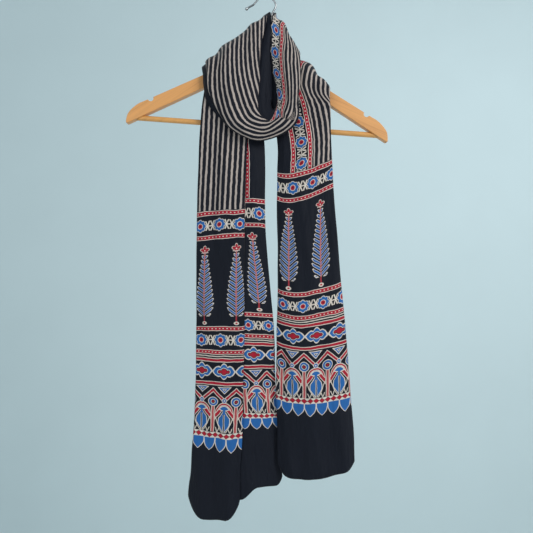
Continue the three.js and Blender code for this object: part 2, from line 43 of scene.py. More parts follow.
# sums on a wire become Math nodes
class Wire:
    def __init__(self, paint, socket):
        self.paint = paint
        self.socket = socket

    def maths(self, operation, *values, clamp=False):
        settings = {"operation": operation, "use_clamp": clamp}
        return self.paint.node("ShaderNodeMath", settings, *values)

    def __add__(self, other):
        return self.maths("ADD", self, other)

    def __radd__(self, other):
        return self.maths("ADD", other, self)

    def __sub__(self, other):
        return self.maths("SUBTRACT", self, other)

    def __rsub__(self, other):
        return self.maths("SUBTRACT", other, self)

    def __mul__(self, other):
        return self.maths("MULTIPLY", self, other)

    def __rmul__(self, other):
        return self.maths("MULTIPLY", other, self)

    def __truediv__(self, other):
        return self.maths("DIVIDE", self, other)

    def __pow__(self, other):
        return self.maths("POWER", self, other)

    def __abs__(self):
        return self.maths("ABSOLUTE", self)

    def beyond(self, other):  # 1 where it is larger, else 0
        return self.maths("GREATER_THAN", self, other)

    def least(self, other):
        return self.maths("MINIMUM", self, other)

    def most(self, other):
        return self.maths("MAXIMUM", self, other)

    def around(self, pitch):  # distance to the nearest multiple of the pitch, with its sign
        return self.maths("WRAP", self, pitch / 2, -pitch / 2)

    def beside(self, pitch):  # the same without the sign
        return self.maths("PINGPONG", self, pitch / 2)

    def cosine(self):
        return self.maths("COSINE", self)

    def reach(self, other):  # length of the pair
        return self.maths("SQRT", self * self + other * other)

    def turn(self, other):
        return self.maths("ARCTAN2", self, other)

    def inside(self, soft):  # 1 where the distance is below zero, with a soft edge
        return self.maths("MULTIPLY_ADD", self, -1 / soft, 0.5, clamp=True)


class Paint:
    def __init__(self, name):
        self.material = bpy.data.materials.new(name)
        self.material.use_nodes = True
        self.tree = self.material.node_tree
        self.tree.nodes.clear()
        self.output = self.tree.nodes.new("ShaderNodeOutputMaterial")

    def node(self, kind, settings=None, *values, out=0, **named):
        made = self.tree.nodes.new(kind)
        for key, value in (settings or {}).items():
            if key == "stops":
                self.setStops(made.color_ramp, value)
            else:
                setattr(made, key, value)
        for key, value in [*enumerate(values), *named.items()]:
            socket = made.inputs[key] if isinstance(key, int) else self.socketOf(made, key)
            if isinstance(value, Wire):
                self.tree.links.new(value.socket, socket)
            elif value is not None:
                socket.default_value = value
        return Wire(self, made.outputs[out])

    def socketOf(self, made, key):
        wanted = key.replace("_", " ").lower()
        usable = [s for s in made.inputs if s.enabled and s.name.lower() == wanted]
        return usable[0]

    def setStops(self, ramp, stops):
        while len(ramp.elements) < len(stops):
            ramp.elements.new(1.0)
        for element, (place, colour) in zip(ramp.elements, stops):
            element.position = place
            element.color = (*colour, 1)

    def mix(self, share, below, above, how="MIX"):
        below, above = [c if isinstance(c, Wire) else (*c, 1) for c in (below, above)]
        unused = [None] * 5  # the node's sockets for plain numbers and vectors
        settings = {"data_type": "RGBA", "blend_type": how}
        return self.node("ShaderNodeMix", settings, share, *unused, below, above, out=2)

    def noise(self, place, scale, detail=2.0, roughness=0.5):
        return self.node("ShaderNodeTexNoise", {"noise_dimensions": "3D"}, vector=place,
                         scale=scale, detail=detail, roughness=roughness)

    def scaled(self, place, *factors):
        return self.node("ShaderNodeVectorMath", {"operation": "MULTIPLY"}, place, factors)

    def axes(self, place):
        return [self.node("ShaderNodeSeparateXYZ", None, place, out=i) for i in range(3)]

    def finish(self, shader):
        self.tree.links.new(shader.socket, self.output.inputs[0])
        return self.material


def fromScreen(red, green, blue):  # screen colour 0-255 to the shader's own scale
    def one(value):
        value /= 255
        return value / 12.92 if value <= 0.04045 else ((value + 0.055) / 1.055) ** 2.4
    return one(red), one(green), one(blue)


def meshPiece(name, points, faces, smooth=True):
    mesh = bpy.data.meshes.new(name)
    mesh.from_pydata([tuple(p) for p in points], [], faces)
    mesh.update()
    if smooth:
        mesh.shade_smooth()
    piece = bpy.data.objects.new(name, mesh)
    bpy.context.scene.collection.objects.link(piece)
    return piece


cameraSpec = {"place": (0.00205, -1.0, -0.4603), "lens": 39.5, "sensor": 36}
camera = bpy.data.objects.new("camera", bpy.data.cameras.new("camera"))
camera.location = cameraSpec["place"]
camera.rotation_euler = (math.radians(90), 0, 0)
camera.data.lens = cameraSpec["lens"]
camera.data.sensor_width = cameraSpec["sensor"]
bpy.context.scene.collection.objects.link(camera)
bpy.context.scene.camera = camera
bpy.context.scene.view_settings.view_transform = "Standard"


# the folded strand of cloth, from the right leg's hem to the left leg's, in millimetres:
# place along the cloth; inner edge, middle and outer edge of the strand's front;
# width share of the first ply; how far the pleat turns back (below zero: third ply on top);
# how far the first ply rides up; how far the back plies and the last selvage fall short
strandColumns = (
    "along", "inner", "middle", "outer", "first", "pleat", "lift", "tuck", "selvage",
)
strandRows = [
    # right leg, from its hem up
    (0, (20, -14, -807), (76, -28, -815), (153, -16, -799), 1, 72, 0, 3, -2),
    (64, (19, -14, -736), (76, -29, -748), (151, -18, -733), 1, 74, 0, 3, -2),
    (130, (18, -14, -679), (73, -30, -684), (145, -19, -674), 1, 75, 0, 3, -2),
    (219, (19, -14, -589), (66, -31, -597), (138, -20, -585), 1, 77, 0, 3, -2),
    (311, (20, -14, -501), (63, -31, -507), (129, -22, -490), 1, 79, 0, 3, -2),
    (390, (20, -14, -422), (58, -31, -426), (121, -24, -406), 1, 80, 0, 3, -2),
    (471, (20, -14, -345), (56, -30, -348), (115, -25, -324), 1, 82, 0, 3, -2),
    (511, (20, -14, -305), (56, -29, -307), (113, -26, -285), 1, 82, 0, 3, -2),
    (562, (21, -14, -259), (61, -26, -255), (111, -26, -235), 1, 83, 0, 3, -2),
    (618, (13, -14, -203), (63, -24, -201), (110, -25, -194), 1, 84, 0, 3, -2),
    # over the right shoulder
    (660, (5, -17, -154), (60, -24, -157), (109, -22, -179), 1, 82, 0, 14, -2),
    (680, (15, -20, -116), (63, -23, -130), (109, -19, -162), 1, 82, 0, 20, -2),
    (699, (28, -2, -98), (68, -2, -110), (107, -2, -152), 1, 82, 0, 20, -2),
    (726, (38, 14, -101), (67, 17, -112), (107, 14, -153), 1, 82, 0, 16, -2),
    # up the back and behind the hook
    (760, (27, 22, -80), (50, 27, -106), (85, 24, -153), 1, 78, 0, 3, -2),
    (790, (16, 27, -66), (26, 31, -98), (45, 27, -142), 1, 60, 0, 3, -2),
    (816, (12, 31, -43), (5, 34, -79), (1, 32, -122), 0.85, 36, 0, 2, -2),
    (852, (8, 28, -22), (-24, 37, -59), (-52, 37, -107), 0.6, 0, 0, 1, -2),
    (877, (6, 18, -19), (-45, 31, -59), (-99, 29, -109), 0.45, -36, 0, 0, 0),
    # over the left outline and down the left of the cowl
    (903, (5, 3, -26), (-47, 5, -63), (-105, 6, -109), 0.38, -48, 0, 0, 6),
    (920, (9, -10, -30), (-45, -17, -75), (-103, -14, -119), 0.38, -60, 0, 0, 7),
    (937, (10, -13, -48), (-45, -31, -92), (-100, -26, -135), 0.43, -63, 0, 0, 8),
    (965, (10, -19, -75), (-43, -37, -115), (-98, -27, -153), 0.49, -59, 0, 0, 9),
    (993, (10, -21, -105), (-41, -40, -143), (-94, -28, -174), 0.53, -57, 0, 0, 9),
    (1023, (10, -22, -135), (-36, -42, -171), (-86, -30, -194), 0.56, -53, 0, 0, 8),
    (1051, (10, -23, -172), (-28, -45, -201), (-73, -32, -216), 0.62, -45, 0, 0, 4),
    # round the bottom of the cowl
    (1077, (9, -24, -189), (-17, -47, -222), (-53, -34, -238), 0.66, -40, 0, 0, 0),
    (1101, (13, -25, -197), (3, -49, -233), (-15, -34, -253), 0.68, -34, 0, 0, -2),
    (1125, (19, -27, -192), (22, -51, -225), (24, -35, -245), 0.7, -31, 0, 0, -3),
    # up the right of the cowl to the neck
    (1151, (20, -28, -175), (37, -52, -203), (51, -38, -226), 0.72, 0, 0, 2, -2),
    (1177, (16, -28, -152), (40, -53, -176), (57, -41, -199), 0.85, 32, 0, 3, -2),
    (1206, (11, -27, -127), (39, -51, -148), (59, -42, -168), 0.97, 56, 0, 3, -2),
    (1233, (9, -25, -99), (37, -47, -121), (59, -41, -143), 1, 70, 0, 3, -2),
    (1259, (10, -21, -69), (37, -38, -93), (58, -37, -122), 1, 77, 0, 3, -2),
    (1284, (11, -14.5, -37), (40, -22, -74), (58, -24, -108), 1, 77, 0, 3, -2),
    (1299, (18, 3, -25), (41, -8, -64), (57, -12, -101), 1, 76, 0, 3, -2),
    # inside at the back, across to the left
    (1326, (17, 13, -30), (31, 13, -56), (43, 11, -81), 0.9, 50, 0, 1, -2),
    (1346, (8, 16, -41), (13, 19, -69), (22, 18, -104), 0.64, 28, 0, 0, -2),
    (1374, (-2, 16, -50), (-13, 20, -83), (-23, 20, -119), 0.42, 0, 0, 0, -2),
    # over the left shoulder
    (1410, (-14, 13, -63), (-44, 20, -90), (-79, 21, -124), 0.46, -28, 0, 0, -3),
    (1441, (-18, 0, -76), (-58, 0, -94), (-97, 2, -118), 0.64, -52, 0, 0, -14),
    (1459, (-9, -15, -94), (-55, -20.5, -109), (-100, -16.8, -134), 0.74, -62, 2, 0, -14),
    (1476, (1, -18, -117), (-52, -23, -130), (-101, -18, -147), 0.86, -76, 4, 0, -3),
    # left leg, down to its hem
    (1538, (-5, -16, -180), (-56, -22, -192), (-109, -17, -201), 0.82, -80, 12, 0, -3),
    (1628, (0, -15, -274), (-54, -24, -279), (-114, -13, -281), 0.74, -67, 18, 0, -3),
    (1719, (0, -15, -373), (-57, -24, -370), (-118, -8, -373), 0.72, -66, 20, 0, -3),
    (1759, (1, -15, -412), (-56, -24, -409), (-118, -8, -414), 0.7, -63, 20, 0, -3),
    (1836, (8, -12, -490), (-54, -24, -486), (-119, -8, -490), 0.7, -60, 23, 0, -3),
    (1918, (15, -8, -568), (-54, -24, -564), (-119, -8, -565), 0.68, -56, 26, 0, -3),
    (2011, (18, -4, -662), (-52, -24, -658), (-120, -8, -655), 0.66, -50, 31, 0, -3),
    (2100, (23, -1, -750), (-51, -24, -745), (-123, -8, -740), 0.64, -46, 36, 0, -3),
    (2164, (29, 0, -820), (-54, -24, -815), (-128, -8, -802), 0.62, -42, 46, 0, -3),
    (2230, (34, 0, -884), (-64, -24, -885), (-133, -6, -884), 0.6, -40, 53, 0, -3),
]
strand = {
    name: np.array([row[i] for row in strandRows], float)
    for i, name in enumerate(strandColumns)
}

clothSpec = {
    "length": 2230,
    "width": 400,
    "thickness": 0.6,
    "layerPitch": 2.0,
    "layerRamp": 11,
    "openPleat": 12,
    "gather": 0.045,
    "foldPasses": 2,
    "bowSteps": 24,
    "rowStep": 5.2,
    "plyNodes": (27, 9, 23, 10, 11),
    "creaseFade": 50,
    # start and end along the cloth, share of the width at each, half width, depth
    "creases": [
        (1520, 2230, 0.76, 0.74, 20, 2.5),
        (0, 600, 0.2, 0.3, 18, 2.0),
        (60, 640, 0.74, 0.72, 18, 2.0),
        (915, 1070, 0.4, 0.45, 18, 2.0),
        (925, 1050, 0.22, 0.3, 7, 3.2),
        (935, 1090, 0.62, 0.6, 8, 2.6),
        (1130, 1290, 0.6, 0.5, 8, 2.6),
        (560, 680, 0.5, 0.45, 10, 2.4),
    ],
    # size along, size across, slant, depth, phase
    "wrinkles": [
        (310, 46, 0.03, 1.7, 0.4),
        (190, 31, -0.048, 1.0, 2.1),
        (120, 67, 0.108, 1.2, 4.0),
        (76, 23, -0.084, 0.45, 1.2),
    ],
    # corners of the right and the left hem: reach and rise at the inner edge, at the outer edge
    "hems": ((16, 16, 16, 14), (14, 14, 32, 30)),
    "hemFade": 70,
    # how the third ply hangs level again where the first is lifted: lifts it starts and ends at,
    # reach across, and the share of the lift that it takes
    "sweep": (36, 53, 30),
    "sweepShare": (0.1, 0.5),
    # lifts between which the first ply's free edge droops, and how much of its lift it loses
    "droop": (44, 53, 0.4),
    # where the selvage and the outer fold lie in the print
    "printedAt": {
        "along": (
            0, 470, 570, 640, 690, 760, 860, 918, 1060,
            1095, 1142, 1310, 1400, 1900, 1958, 1973, 2230,
        ),
        "inner": (0, 0, 5, 7, 20, 20, 0, 0, -5, -5, 35, 35, 0, 0, 0, 0, 0),
        "outer": (
            261, 261, 261, 261, 261, 250, 242, 242, 218,
            218, 218, 225, 263, 265, 267, 251, 251,
        ),
    },
}


def ease(t):
    c = np.clip(t, 0, 1)
    return c * c * (3 - 2 * c)


def rowAt(u):
    return np.clip(np.searchsorted(strand["along"], u, side="right") - 1, 0, len(strandRows) - 2)


def smoothColumn(name, u):  # a curve through the rows
    knots, values = strand["along"], strand[name]
    i = rowAt(u)
    before, after = np.maximum(i - 1, 0), np.minimum(i + 2, len(knots) - 1)
    span = knots[i + 1] - knots[i]
    t = np.clip((u - knots[i]) / span, 0, 1)
    slopeA = span / (knots[i + 1] - knots[before])
    slopeB = span / (knots[after] - knots[i])
    if values.ndim > 1:
        t, slopeA, slopeB = t[:, None], slopeA[:, None], slopeB[:, None]
    slopeA = slopeA * (values[i + 1] - values[before])
    slopeB = slopeB * (values[after] - values[i])
    start = (2 * t**3 - 3 * t**2 + 1) * values[i] + (t**3 - 2 * t**2 + t) * slopeA
    return start + (3 * t**2 - 2 * t**3) * values[i + 1] + (t**3 - t**2) * slopeB


def straightColumn(name, u):
    return np.interp(u, strand["along"], strand[name])


gridAlong = np.arange(0, clothSpec["length"] + 1, 1.0)
gridRails = np.stack(
    [smoothColumn(name, gridAlong) for name in ("inner", "middle", "outer")], axis=1
)


def fromGrid(grid, u):  # between the two nearest millimetres along the cloth
    u = np.clip(u, 0, clothSpec["length"])
    low = np.minimum(u.astype(int), len(gridAlong) - 2)
    part = (u - low).reshape(-1, *[1] * (grid.ndim - 1))
    return grid[low] * (1 - part) + grid[low + 1] * part


def bow(rails, share):  # the strand's front from edge to edge, through its middle
    s = share[:, None]
    fromInner = (1 - s) * (1 - 2 * s) * rails[:, 0]
    return fromInner + 4 * s * (1 - s) * rails[:, 1] + s * (2 * s - 1) * rails[:, 2]


def bowTable():  # length across the front up to each step, for each place along
    count = clothSpec["bowSteps"]
    steps = [bow(gridRails, np.full(len(gridAlong), i / count)) for i in range(count + 1)]
    lengths = [np.zeros(len(gridAlong))]
    for a, b in zip(steps, steps[1:]):
        lengths.append(lengths[-1] + np.linalg.norm(b - a, axis=1))
    return np.stack(lengths, axis=1)


gridBow = bowTable()


def widthAt(u):
    return fromGrid(gridBow, u)[:, -1]


def shareAt(u, across):  # millimetres across the front to a share of its width
    sums = fromGrid(gridBow, u)
    width, count = sums[:, -1], clothSpec["bowSteps"]
    i = np.clip((sums <= across[:, None]).sum(axis=1) - 1, 0, count - 1)
    pick = np.arange(len(u))
    inside = (i + (across - sums[pick, i]) / (sums[pick, i + 1] - sums[pick, i])) / count
    return np.where((across <= 0) | (across >= width), across / width, inside), width


def creaseDepth(u, share, width):
    depth = np.zeros(len(u))
    fade = clothSpec["creaseFade"]
    for start, end, atStart, atEnd, half, deep in clothSpec["creases"]:
        here = ease((u - start) / fade) * ease((end - u) / fade + 1)
        middle = atStart + (atEnd - atStart) * np.clip((u - start) / (end - start), 0, 1)
        depth += here * deep * np.exp(-(((share - middle) * width / half) ** 2))
    return depth


def wrinkleDepth(u, across):
    depth = np.zeros(len(u))
    for longSize, wideSize, slant, deep, phase in clothSpec["wrinkles"]:
        swell = 0.5 + 0.5 * np.sin(u / longSize * 2 * math.pi + phase)
        depth += deep * swell * np.sin((across + slant * u) / wideSize * 2 * math.pi + phase * 3)
    return depth


def hemRise(u, across):  # rounds the corners of both hems
    atEnd = (u > clothSpec["length"] / 2).astype(int)
    innerReach, innerRise, outerReach, outerRise = np.array(clothSpec["hems"], float)[atEnd].T
    away = np.where(atEnd == 1, clothSpec["length"] - u, u)
    inner = np.clip(1 - across / innerReach, 0, 1)
    outer = np.clip(1 - (widthAt(u) - across) / outerReach, 0, 1)
    near = ease(1 - away / clothSpec["hemFade"])
    return near * (inner**2 * innerRise + outer**2 * outerRise)


def place(u, across, depth):  # a spot in the pile of plies, as a point of the room
    share, width = shareAt(u, across)
    inside = np.clip(share, 0, 1)
    rails = fromGrid(gridRails, u)
    point = bow(rails, share)
    acrossStep = bow(rails, inside + 0.01) - bow(rails, inside - 0.01)
    alongStep = bow(fromGrid(gridRails, u + 2), inside) - bow(fromGrid(gridRails, u - 2), inside)
    normal = np.cross(acrossStep, alongStep)
    normal /= np.linalg.norm(normal, axis=1)[:, None]
    behind = depth + creaseDepth(u, inside, width) + wrinkleDepth(u, across)
    return point - normal * behind[:, None]


def column(values):
    return values[:, None]


def covered(x, low, high):  # 1 between two places across, fading outside them
    ramp = clothSpec["layerRamp"]
    return ease((x - low) / ramp + 1) * ease((high - x) / ramp + 1)


def gathered(steps):  # nodes gather at both folds
    return steps - clothSpec["gather"] * np.sin(2 * math.pi * steps)


def turning(steps):  # nodes of a pleat that has opened out, short of its neighbours
    return (4 * steps + 1) / 6


def foldNodes(u):  # every row of the folded cloth: across, depth, lift and place in the print
    spec = clothSpec
    pitch, openPleat = spec["layerPitch"], spec["openPleat"]
    width = column(widthAt(u))
    names = ("first", "pleat", "lift", "tuck", "selvage")
    firstShare, pleat, lift, tuck, selvage = [column(straightColumn(name, u)) for name in names]
    turned = np.abs(pleat) - openPleat
    folded = np.clip(turned / spec["layerRamp"], 0, 1)
    firstEnd = width * firstShare
    thirdStart = firstEnd - turned
    thirdEnd = width - tuck
    lastEnd = thirdEnd + selvage

    firstOnTop = pleat > 0
    behind = 2 * pitch * ease(np.abs(pleat) / openPleat)

    def underFirst(x):
        return behind * covered(x, 0, firstEnd)

    def firstDepth(x):
        return np.where(firstOnTop, 0, behind * covered(x, thirdStart, thirdEnd))

    def thirdDepth(x):
        return np.where(firstOnTop, underFirst(x), 0)

    def backDepth(x):
        return pitch + underFirst(x) * covered(x, thirdStart, thirdEnd)

    sweepFrom, sweepFull, sweepReach = spec["sweep"]
    least, gain = spec["sweepShare"]
    swept = least + gain * ease((lift - sweepFrom) / (sweepFull - sweepFrom))

    def backLift(x):
        return lift * swept * np.clip(1 - (x - thirdStart) / sweepReach, 0, 1) ** 2

    droopFrom, droopFull, droopShare = spec["droop"]
    droop = droopShare * ease((lift - droopFrom) / (droopFull - droopFrom))
    printedAt = spec["printedAt"]
    atInner, atOuter = [
        column(np.interp(u, printedAt["along"], printedAt[side])) for side in ("inner", "outer")
    ]
    steps = [np.linspace(0, 1, count)[None, :] for count in spec["plyNodes"]]
    plies = []
    # first ply, from the selvage
    x = firstEnd * gathered(steps[0])
    firstLift = lift * (1 - droop * ease(1 - abs(x - thirdStart) / sweepReach))
    plies.append((x, firstDepth(x), firstLift, atInner + x))
    # the pleat's turned-back ply
    start = turning(0) * (1 - folded)
    end = turning(1) + (1 - turning(1)) * folded
    part = start + (end - start) * steps[1]
    share = turning(steps[1]) + (0.4 + 0.2 * steps[1] - turning(steps[1])) * folded
    x = firstEnd + (thirdStart - firstEnd) * part
    above, below = firstDepth(firstEnd), thirdDepth(thirdStart)
    turnedFrom, turnedTo = atInner + firstEnd, atOuter - thirdEnd + thirdStart
    turnedLift = lift * (1 + (swept - 1) * steps[1])
    turnedPrint = turnedFrom + (turnedTo - turnedFrom) * part
    plies.append((x, above + (below - above) * share, turnedLift, turnedPrint))
    # third ply, out to the outer fold
    x = thirdStart + (thirdEnd - thirdStart) * gathered(steps[2])
    plies.append((x, thirdDepth(x), backLift(x), atOuter - thirdEnd + x))
    # the two plies behind, back and out again to the other selvage
    home, out = thirdEnd - thirdStart, lastEnd - thirdStart
    rest = (spec["width"] - atOuter) / (home + out)
    x = thirdEnd - home * gathered(steps[3])
    plies.append((x, backDepth(x), backLift(x), atOuter + rest * (thirdEnd - x)))
    x = thirdStart + out * gathered(steps[4])
    lastPrint = spec["width"] - rest * (lastEnd - x)
    plies.append((x, backDepth(x) + pitch, backLift(x), lastPrint))
    shaped = [np.broadcast_arrays(*ply) for ply in plies]
    return [np.concatenate([ply[i] for ply in shaped], axis=1) for i in range(4)]


def softened(values):  # rounds the folds a little
    for _ in range(clothSpec["foldPasses"]):
        inner = (values[:, :-2] + 2 * values[:, 1:-1] + values[:, 2:]) / 4
        values = np.concatenate([values[:, :1], inner, values[:, -1:]], axis=1)
    return values


def strandStations(seams):
    stops = sorted({0.0, float(clothSpec["length"]), *seams})
    made = []
    for a, b in zip(stops, stops[1:]):
        count = max(1, round((b - a) / clothSpec["rowStep"]))
        made += [a + (b - a) * k / count for k in range(count)]
    return np.array([*made, stops[-1]])


# the print, in millimetres: a is the distance from the nearer hem, v the place across the cloth;
# pairs of shifts are for the right and the left leg's end of the cloth
printSpec = {
    "ground": fromScreen(12, 17, 29),
    "red": fromScreen(158, 26, 46),
    "blue": fromScreen(36, 94, 158),
    "cream": fromScreen(208, 198, 188),
    "stripe": fromScreen(176, 163, 156),
    "faded": fromScreen(176, 104, 102),
    "wobble": 1.1,
    "flowerPitch": 35,
    "nearShift": (12.5, 10),
    "farShift": (31, 11),
    "treeShift": (23, 23.5),
    "archShift": (10, 16),
    "medallionShift": (31.5, 38),
    "borderPitch": 37,
    "borderShift": 10,
    "stripePitch": 9,
    "stripeStart": 5,
    "stripeInk": 3.2,
    "dotPitch": 6.5,
}

weaveSpec = {
    "wearScale": 0.25,
    "patchScale": 0.012,
    "yarn": (0.35, 2.6, 1),
    "crossYarn": (2.6, 0.35, 1),
    "rumple": (0.012, 0.05, 1),
    "rumpleHeight": 0.012,
    "yarnHeight": 0.0003,
    "sheen": 0.06,
    "gloss": 0.2,
}


class Cloth(Paint):  # a paint that stamps inks one over another
    def __init__(self, name):
        super().__init__(name)
        wobble = printSpec["wobble"]
        self.place = self.node("ShaderNodeUVMap", {"uv_map": "print"})
        along, across, _ = self.axes(self.place)
        self.x = along + (self.noise(self.place, 0.035, 2) - 0.5) * (4 * wobble)
        self.v = across + (self.noise(self.place, 0.11, 1) - 0.5) * (2 * wobble)
        self.a = self.x.least(clothSpec["length"] - self.x)
        self.colour = self.node("ShaderNodeRGB")
        self.colour.socket.default_value = (*printSpec["ground"], 1)

    def stamp(self, distance, ink, soft=0.5):
        self.colour = self.mix(distance.inside(soft), self.colour, printSpec[ink])

    def nest(self, distance, *bands):  # one ink inside another, from the widest in
        for half, ink in bands:
            self.stamp(distance - half, ink)

    def shifted(self, name):  # across the cloth from the pattern's middle at that end
        right, left = printSpec[name]
        atLeft = self.x.beyond(clothSpec["length"] / 2)
        return self.v - right - atLeft * (left - right)

    def plainLine(self, along, centre):  # red with cream edges
        self.nest(abs(along - centre), (3.2, "cream"), (2.1, "red"))

    def dottedLine(self, along, across, centre):
        off = abs(along - centre)
        self.nest(off, (3.9, "cream"), (2.9, "red"))
        dot = off.reach(across.around(printSpec["dotPitch"]) * 0.7)
        self.nest(dot, (0.85, "cream"))

    def flower(self, x, y):  # eight petals round a red eye
        r = x.reach(y)
        petals = abs((x.turn(y) * 4).cosine())
        self.nest(r - petals * 1.9, (9.3, "cream"), (8.2, "blue"))
        self.nest(r, (4.9, "cream"), (3.9, "red"), (1.1, "ground"))

    def sprig(self, x, y):  # two small crosses on one bar, centred between flowers
        x, y = abs(x), abs(y)
        arm = (abs(abs(x - 4.3) - y * 0.4) - 1.1).most(y - 8)
        bar = (y - 0.9).most(x - 8.5)
        self.stamp(arm.least(bar), "cream")

    def flowerBand(self, along, across, centre, pitch):
        y = along - centre
        self.sprig((across - pitch / 2).around(pitch), y)
        self.flower(across.around(pitch), y)

    def finishCloth(self):  # worn ink, yarns both ways and soft rumples
        spec, place = weaveSpec, self.place
        wear = self.noise(place, spec["wearScale"], 5, 0.65)
        patchy = self.noise(place, spec["patchScale"], 2)
        shade = self.node("ShaderNodeCombineColor", None, *[0.78 + wear * 0.3 + patchy * 0.2] * 3)
        colour = self.mix(0.8, self.colour, shade, "MULTIPLY")
        yarns = [
            self.noise(self.scaled(place, *spec[way]), 1.0, 2) for way in ("yarn", "crossYarn")
        ]
        softFolds = self.noise(self.scaled(place, *spec["rumple"]), 1.0, 3)
        rumple = self.node("ShaderNodeBump", None, 0.6, spec["rumpleHeight"], height=softFolds)
        bump = self.node("ShaderNodeBump", None, 0.3, spec["yarnHeight"],
                         height=yarns[0] + yarns[1], normal=rumple)
        shader = self.node("ShaderNodeBsdfPrincipled", None, base_color=colour,
                           roughness=0.6 + wear * 0.2, normal=bump, sheen_weight=spec["sheen"],
                           sheen_roughness=0.4, specular_ior_level=spec["gloss"])
        return self.finish(shader)


scallopSpec = {
    "pitch": 20,
    "top": 125,
    "deep": 21,
    "half": 9.7,
    "beads": 130,
    "beadPitch": 10,
}


def scallopCloth():  # plain end, round scallops under a band of diamonds
    c, s = Cloth("clothScallops"), scallopSpec
    x, y = c.v.around(s["pitch"]), s["top"] - c.a
    arc = (abs(x) - s["half"] * (1 - (y.most(0) / s["deep"]) ** 3)) * 0.85
    c.nest(arc.most(y - s["deep"]).most(-2 - y), (0.7, "cream"), (-0.5, "blue"))
    band = abs(c.a - s["beads"])
    c.nest(band, (4.9, "cream"))
    c.nest(band + abs(c.v.around(s["beadPitch"])) * 0.84, (4.6, "ground"), (4.0, "red"))
    return c.finishCloth()


archSpec = {
    "pitch": 40,
    "foot": 134,
    "dome": (16.4, 165, 22),
    "domeFoot": 166,
    "domeBands": ((1, "cream"), (0.94, "red"), (0.82, "cream"), (0.77, "ground")),
    "domeEdge": 15,
    "wedge": 174,
    "leafWide": 153,
    "leafTip": 174,
    "veinTop": 168,
    "cap": (10, 170, 11.5),
    "capFoot": 171,
    "sproutTop": 143,
    "postTop": 182,
    "ring": 188,
    "zigzag": 208.5,
    "knob": 190,
    "notch": 201.5,
    "notchTop": 213.6,
    "upperLine": 219,
}


def archCloth():
    c, s = Cloth("clothArches"), archSpec
    post = c.shifted("archShift").beside(s["pitch"])
    x = s["pitch"] / 2 - post
    a = c.a
    drawArch(c, x, a)
    drawLeaf(c, x, a)
    # sprouts at the foot
    sprout = abs(abs(post - 8.6) - (a - s["foot"] - 1) * 0.42) - 0.7
    c.stamp(sprout.most(a - s["sproutTop"]), "cream")
    # posts with ring heads
    for half, ink in ((3.1, "cream"), (2.1, "faded"), (0.5, "red")):
        c.stamp((post - half).most(a - s["postTop"]), ink)
    c.nest(post.reach(a - s["ring"]),
           (8.6, "cream"), (7.5, "blue"), (4.3, "cream"), (3.3, "ground"), (1.8, "red"))
    # zigzag, with a small ring at each low corner
    c.nest(abs(a - s["zigzag"] + post * 0.93) * 0.73, (2.9, "cream"), (1.8, "red"))
    c.nest(x.reach(a - s["knob"]), (4.4, "cream"), (3.3, "blue"), (1.3, "cream"))
    notch = ((x - a + s["notch"]) * 0.7).most(a - s["notchTop"])
    c.nest(notch, (0, "cream"), (-1.2, "blue"), (-3.2, "cream"), (-4.1, "ground"))
    c.plainLine(a, s["upperLine"])
    return c.finishCloth()


def drawArch(c, x, a):  # dome with its slanting wedges, and the sides under it
    s = archSpec
    half, centre, rise = s["dome"]
    dome = (x / half).reach((a - centre) / rise)
    for edge, ink in s["domeBands"]:
        c.stamp(((dome - edge) * s["domeEdge"]).most(s["domeFoot"] - a), ink)
    slant = abs(a - s["wedge"] + (x - 6.5) * 1.3) * 0.61
    c.stamp((slant - 3.4).most(x - 16.6).most(4 - x), "cream")
    c.stamp((slant - 2.4).most(x - 15.8).most(4 - x), "red")
    side = abs(x - half * (((a - s["foot"]).most(0.1) / 30) ** 0.62)) - 0.7
    c.stamp(side.most(a - 161).most(135 - a), "cream")


def drawLeaf(c, x, a):  # kite leaf with a vein, under a cap
    s = archSpec
    lower, upper = (a - s["foot"]) * 0.72, (s["leafTip"] - a) * 0.7
    belly = 10.8 - (a - s["leafWide"]) * (a - s["leafWide"]) * 0.018
    leaf = (x - lower.least(belly).least(upper)) * 0.85
    c.nest(leaf, (0, "cream"), (-1.1, "blue"))
    for half, ink in ((1.5, "cream"), (0.8, "ground")):
        c.stamp((x - half).most(a - s["veinTop"]).most(leaf), ink)
    half, centre, rise = s["cap"]
    cap = ((x / half).reach((a - centre) / rise) - 1) * 9
    c.stamp(cap.most(s["capFoot"] - a + x * 0.35), "cream")
    c.stamp((cap + 1.1).most(s["capFoot"] + 1.5 - a + x * 0.35), "blue")
    c.stamp((x - 2).most(abs(a - s["capFoot"]) - 5), "blue")


medallionSpec = {
    "pitch": 40,
    "middle": 240,
    "crown": 13.5,
    "point": 20,
    "upperLine": 258.5,
    "thinLine": 265,
}


def medallionCloth():  # pointed medallions joined by crosses
    c, s = Cloth("clothMedallions"), medallionSpec
    x, y = c.shifted("medallionShift").beside(s["pitch"]), abs(c.a - s["middle"])
    toPoint = (s["point"] - x) * 1.1
    cross = abs(y - toPoint) * 0.6
    c.stamp((cross - 0.8).most(x - s["point"]).most(14 - x), "cream")
    crown = s["crown"] - x * x * 0.16
    side = (9 - (x - 9.5) * (x - 9.5) * 0.11).least(toPoint)
    c.nest((y - crown.most(side)) * 0.75, (0.3, "cream"), (-1.1, "blue"))
    lobes = (x.reach(y) - 5.6).least(abs(x - 7).reach(y * 1.15) - 3.4)
    c.nest(lobes, (1.1, "cream"), (0.2, "ground"), (-0.9, "red"))
    c.plainLine(c.a, s["upperLine"])
    c.nest(abs(c.a - s["thinLine"]), (0.8, "cream"))
    return c.finishCloth()


def endBorderCloth(name, shift, low, middle, high):  # flowers between two dotted lines
    c = Cloth(name)
    c.flowerBand(c.a, c.shifted(shift), middle, printSpec["flowerPitch"])
    c.dottedLine(c.a, c.v, low)
    c.dottedLine(c.a, c.v, high)
    return c.finishCloth()


